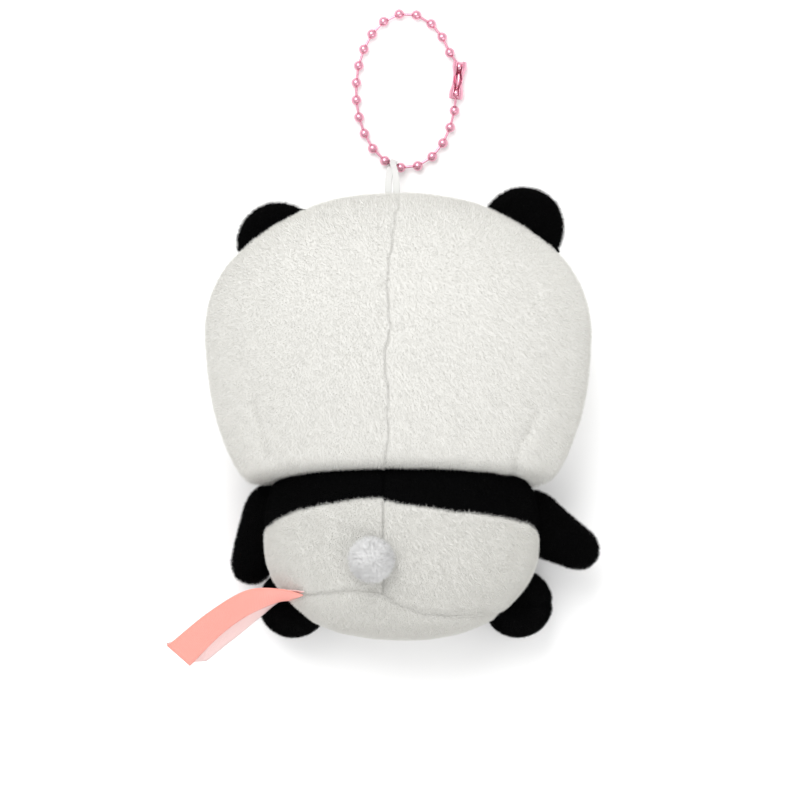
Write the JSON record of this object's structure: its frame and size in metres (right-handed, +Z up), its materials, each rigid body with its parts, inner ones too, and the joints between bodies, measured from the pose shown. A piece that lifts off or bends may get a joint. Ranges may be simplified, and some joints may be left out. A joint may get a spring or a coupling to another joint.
{
  "type": "plush keychain",
  "caption": "Palm-sized sitting panda plush charm with a sewn-in ribbon loop, a ball chain closed by a snap clasp, a pompom tail and a folded care label.",
  "frame": {"origin": "middle of the underside of the box round the whole charm as it lies face down, chain and label included", "axes": "+Y from the feet to the top of the head and along the chain, +Z up from the table and out of the panda's back, +X towards the panda's own right side"},
  "size_m": [0.101, 0.1606, 0.052],
  "materials": {
    "white_plush": "short-pile plush",
    "black_plush": "short-pile plush",
    "pompom": "long-pile pompom",
    "wadding": "polyester fibre filling",
    "label_satin": "woven satin",
    "ribbon_satin": "woven satin",
    "black_plastic": "gloss",
    "washer_plastic": "matte",
    "mouth_thread": "embroidery thread",
    "pink_metal": "pink anodised, shiny"
  },
  "bodies": {
    "plush": {"face_panel": "white_plush", "head_back_left": "white_plush", "head_back_right": "white_plush", "head_stuffing": "wadding", "shoulder_band_left": "black_plush", "shoulder_band_right": "black_plush", "chest_band": "black_plush", "lower_back_left": "white_plush", "lower_back_right": "white_plush", "belly_panel": "white_plush", "base_panel": "white_plush", "body_stuffing": "wadding", "eye_patch_left": "black_plush", "eye_patch_right": "black_plush", "eye_left": "black_plastic", "eye_right": "black_plastic", "eye_washer_left": "washer_plastic", "eye_washer_right": "washer_plastic", "nose": "black_plastic", "mouth_stitch": "mouth_thread"},
    "ear_left": {"ear_left_back": "black_plush", "ear_left_front": "black_plush"},
    "ear_right": {"ear_right_back": "black_plush", "ear_right_front": "black_plush"},
    "arm_left": {"arm_left_skin": "black_plush", "arm_left_stuffing": "wadding"},
    "arm_right": {"arm_right_skin": "black_plush", "arm_right_stuffing": "wadding"},
    "leg_left": {"leg_left_skin": "black_plush", "leg_left_stuffing": "wadding"},
    "leg_right": {"leg_right_skin": "black_plush", "leg_right_stuffing": "wadding"},
    "tail": {"tail_pompom": "pompom"},
    "label": {"care_label": "label_satin"},
    "ribbon": {"hang_ribbon": "ribbon_satin"},
    "ball_left_01": {"ball_left_01": "pink_metal"},
    "ball_left_02": {"ball_left_02": "pink_metal"},
    "ball_left_03": {"ball_left_03": "pink_metal"},
    "ball_left_04": {"ball_left_04": "pink_metal"},
    "ball_left_05": {"ball_left_05": "pink_metal"},
    "ball_left_06": {"ball_left_06": "pink_metal"},
    "ball_left_07": {"ball_left_07": "pink_metal"},
    "ball_left_08": {"ball_left_08": "pink_metal"},
    "ball_left_09": {"ball_left_09": "pink_metal"},
    "ball_left_10": {"ball_left_10": "pink_metal"},
    "ball_left_11": {"ball_left_11": "pink_metal"},
    "ball_left_12": {"ball_left_12": "pink_metal"},
    "ball_left_13": {"ball_left_13": "pink_metal"},
    "ball_left_14": {"ball_left_14": "pink_metal"},
    "ball_left_15": {"ball_left_15": "pink_metal"},
    "ball_left_16": {"ball_left_16": "pink_metal"},
    "ball_right_01": {"ball_right_01": "pink_metal"},
    "ball_right_02": {"ball_right_02": "pink_metal"},
    "ball_right_03": {"ball_right_03": "pink_metal"},
    "ball_right_04": {"ball_right_04": "pink_metal"},
    "ball_right_05": {"ball_right_05": "pink_metal"},
    "ball_right_06": {"ball_right_06": "pink_metal"},
    "ball_right_07": {"ball_right_07": "pink_metal"},
    "clasp": {"clasp": "pink_metal"}
  },
  "joints": [
    {"name": "ear_left_fold", "type": "hinge", "parent": "plush", "child": "ear_left", "pos_m": [-0.02886, 0.02694, 0.0225], "axis": [0.8377, 0.5461, 0], "range_deg": [-18, 18], "stiffness_Nm_per_rad": 0.02},
    {"name": "ear_right_fold", "type": "hinge", "parent": "plush", "child": "ear_right", "pos_m": [0.03234, 0.0276, 0.0225], "axis": [0.8523, -0.5231, 0], "range_deg": [-18, 18], "stiffness_Nm_per_rad": 0.02},
    {"name": "arm_left_swing", "type": "hinge", "parent": "plush", "child": "arm_left", "pos_m": [-0.02713, -0.04115, 0.017], "axis": [0, 0, 1], "range_deg": [-20, 6], "stiffness_Nm_per_rad": 0.02},
    {"name": "arm_right_swing", "type": "hinge", "parent": "plush", "child": "arm_right", "pos_m": [0.03387, -0.04305, 0.017], "axis": [0, 0, 1], "range_deg": [-20, 15], "stiffness_Nm_per_rad": 0.02},
    {"name": "leg_left_swing", "type": "hinge", "parent": "plush", "child": "leg_left", "pos_m": [-0.02293, -0.06295, 0.0174], "axis": [1, 0, 0], "range_deg": [-12, 12], "stiffness_Nm_per_rad": 0.05},
    {"name": "leg_right_swing", "type": "hinge", "parent": "plush", "child": "leg_right", "pos_m": [0.03107, -0.06295, 0.0174], "axis": [1, 0, 0], "range_deg": [-12, 12], "stiffness_Nm_per_rad": 0.05},
    {"name": "tail_rock", "type": "hinge", "parent": "plush", "child": "tail", "pos_m": [-0.00403, -0.05155, 0.04281], "axis": [1, 0, 0], "range_deg": [-7, 7], "stiffness_Nm_per_rad": 0.01},
    {"name": "label_lift", "type": "hinge", "parent": "plush", "child": "label", "pos_m": [-0.02219, -0.06055, 0.03428], "axis": [-0.515, 0.8572, 0], "range_deg": [0, 60], "stiffness_Nm_per_rad": 0.002},
    {"name": "ribbon_lift", "type": "hinge", "parent": "plush", "child": "ribbon", "pos_m": [0.00087, 0.03455, 0.0235], "axis": [1, 0, 0], "range_deg": [0, 75]},
    {"name": "chain_swing", "type": "hinge", "parent": "ribbon", "child": "ball_left_01", "pos_m": [0.00096, 0.04288, 0.0015], "axis": [0.9183, -0.3959, 0], "range_deg": [-75, 25]},
    {"name": "flex_left_02", "type": "hinge", "parent": "ball_left_01", "child": "ball_left_02", "pos_m": [-0.00095, 0.0437, 0.0015], "axis": [0, 0, 1], "range_deg": [-0.31, 0.31]},
    {"name": "flex_left_03", "type": "hinge", "parent": "ball_left_02", "child": "ball_left_03", "pos_m": [-0.00387, 0.04667, 0.00135], "axis": [0, 0, 1], "range_deg": [-1.09, 1.09]},
    {"name": "flex_left_04", "type": "hinge", "parent": "ball_left_03", "child": "ball_left_04", "pos_m": [-0.00591, 0.05029, 0.0012], "axis": [0, 0, 1], "range_deg": [-2.27, 2.27]},
    {"name": "flex_left_05", "type": "hinge", "parent": "ball_left_04", "child": "ball_left_05", "pos_m": [-0.0072, 0.05424, 0.0012], "axis": [0, 0, 1], "range_deg": [-1.45, 1.45]},
    {"name": "flex_left_06", "type": "hinge", "parent": "ball_left_05", "child": "ball_left_06", "pos_m": [-0.00784, 0.05837, 0.0012], "axis": [0, 0, 1], "range_deg": [-0.141, 0.141]},
    {"name": "flex_left_07", "type": "hinge", "parent": "ball_left_06", "child": "ball_left_07", "pos_m": [-0.00787, 0.06253, 0.0012], "axis": [0, 0, 1], "range_deg": [-2.42, 2.42]},
    {"name": "flex_left_08", "type": "hinge", "parent": "ball_left_07", "child": "ball_left_08", "pos_m": [-0.00729, 0.06664, 0.0012], "axis": [0, 0, 1], "range_deg": [-4.47, 4.47]},
    {"name": "flex_left_09", "type": "hinge", "parent": "ball_left_08", "child": "ball_left_09", "pos_m": [-0.00605, 0.07063, 0.0012], "axis": [0, 0, 1], "range_deg": [-0.96, 0.96]},
    {"name": "flex_left_10", "type": "hinge", "parent": "ball_left_09", "child": "ball_left_10", "pos_m": [-0.00407, 0.0743, 0.0012], "axis": [0, 0, 1], "range_deg": [-1.79, 1.79]},
    {"name": "flex_left_11", "type": "hinge", "parent": "ball_left_10", "child": "ball_left_11", "pos_m": [-0.00124, 0.07733, 0.0012], "axis": [0, 0, 1], "range_deg": [-2.45, 2.45]},
    {"name": "flex_left_12", "type": "hinge", "parent": "ball_left_11", "child": "ball_left_12", "pos_m": [0.00252, 0.07913, 0.0012], "axis": [0, 0, 1], "range_deg": [-2.99, 2.99]},
    {"name": "flex_left_13", "type": "hinge", "parent": "ball_left_12", "child": "ball_left_13", "pos_m": [0.00668, 0.0789, 0.0012], "axis": [0, 0, 1], "range_deg": [-3.65, 3.65]},
    {"name": "flex_left_14", "type": "hinge", "parent": "ball_left_13", "child": "ball_left_14", "pos_m": [0.01024, 0.07678, 0.0012], "axis": [0, 0, 1], "range_deg": [-0.53, 0.53]},
    {"name": "flex_left_15", "type": "hinge", "parent": "ball_left_14", "child": "ball_left_15", "pos_m": [0.0129, 0.07357, 0.00139], "axis": [0, 0, 1], "range_deg": [-0.86, 0.86]},
    {"name": "flex_left_16", "type": "hinge", "parent": "ball_left_15", "child": "ball_left_16", "pos_m": [0.01471, 0.06981, 0.00159], "axis": [0, 0, 1], "range_deg": [-3.08, 3.08]},
    {"name": "flex_right_01", "type": "hinge", "parent": "ball_left_01", "child": "ball_right_01", "pos_m": [0.00286, 0.04206, 0.0015], "axis": [0, 0, 1], "range_deg": [-4.5, 4.5]},
    {"name": "flex_right_02", "type": "hinge", "parent": "ball_right_01", "child": "ball_right_02", "pos_m": [0.007, 0.04246, 0.00135], "axis": [0, 0, 1], "range_deg": [-1.89, 1.89]},
    {"name": "flex_right_03", "type": "hinge", "parent": "ball_right_02", "child": "ball_right_03", "pos_m": [0.01049, 0.0447, 0.0012], "axis": [0, 0, 1], "range_deg": [-2.65, 2.65]},
    {"name": "flex_right_04", "type": "hinge", "parent": "ball_right_03", "child": "ball_right_04", "pos_m": [0.01307, 0.04797, 0.0012], "axis": [0, 0, 1], "range_deg": [-1.46, 1.46]},
    {"name": "flex_right_05", "type": "hinge", "parent": "ball_right_04", "child": "ball_right_05", "pos_m": [0.01482, 0.05176, 0.00139], "axis": [0, 0, 1], "range_deg": [-2.61, 2.61]},
    {"name": "flex_right_06", "type": "hinge", "parent": "ball_right_05", "child": "ball_right_06", "pos_m": [0.01586, 0.05579, 0.00159], "axis": [0, 0, 1], "range_deg": [-3.75, 3.75]},
    {"name": "flex_clasp", "type": "hinge", "parent": "ball_right_06", "child": "clasp", "pos_m": [0.01626, 0.05993, 0.00178], "axis": [0, 0, 1], "range_deg": [-3.12, 3.12]},
    {"name": "flex_right_07", "type": "hinge", "parent": "ball_right_06", "child": "ball_right_07", "pos_m": [0.01626, 0.05993, 0.00178], "axis": [0, 0, 1], "range_deg": [-2, 2]}
  ],
  "couplings": [
    {"joint": "flex_left_02", "follows": "flex_right_01", "ratio": -0.0653},
    {"joint": "flex_left_03", "follows": "flex_right_01", "ratio": -0.236},
    {"joint": "flex_left_04", "follows": "flex_right_01", "ratio": 0.4919},
    {"joint": "flex_left_05", "follows": "flex_right_01", "ratio": 0.3144},
    {"joint": "flex_left_06", "follows": "flex_right_01", "ratio": 0.0286},
    {"joint": "flex_left_07", "follows": "flex_right_01", "ratio": 0.5247},
    {"joint": "flex_left_08", "follows": "flex_right_01", "ratio": 0.9708},
    {"joint": "flex_left_09", "follows": "flex_right_01", "ratio": 0.208},
    {"joint": "flex_left_10", "follows": "flex_right_01", "ratio": -0.387},
    {"joint": "flex_left_11", "follows": "flex_right_01", "ratio": -0.5317},
    {"joint": "flex_left_12", "follows": "flex_right_01", "ratio": -0.6485},
    {"joint": "flex_left_13", "follows": "flex_right_01", "ratio": -0.7929},
    {"joint": "flex_left_14", "follows": "flex_right_01", "ratio": -0.1139},
    {"joint": "flex_left_15", "follows": "flex_right_01", "ratio": 0.1852},
    {"joint": "flex_left_16", "follows": "flex_right_01", "ratio": 0.669},
    {"joint": "flex_right_02", "follows": "flex_right_01", "ratio": 0.4099},
    {"joint": "flex_right_03", "follows": "flex_right_01", "ratio": 0.5749},
    {"joint": "flex_right_04", "follows": "flex_right_01", "ratio": 0.316},
    {"joint": "flex_right_05", "follows": "flex_right_01", "ratio": -0.5661},
    {"joint": "flex_right_06", "follows": "flex_right_01", "ratio": -0.8153},
    {"joint": "flex_clasp", "follows": "flex_right_01", "ratio": -0.6764},
    {"joint": "flex_right_07", "follows": "flex_right_01", "ratio": 0.2}
  ]
}
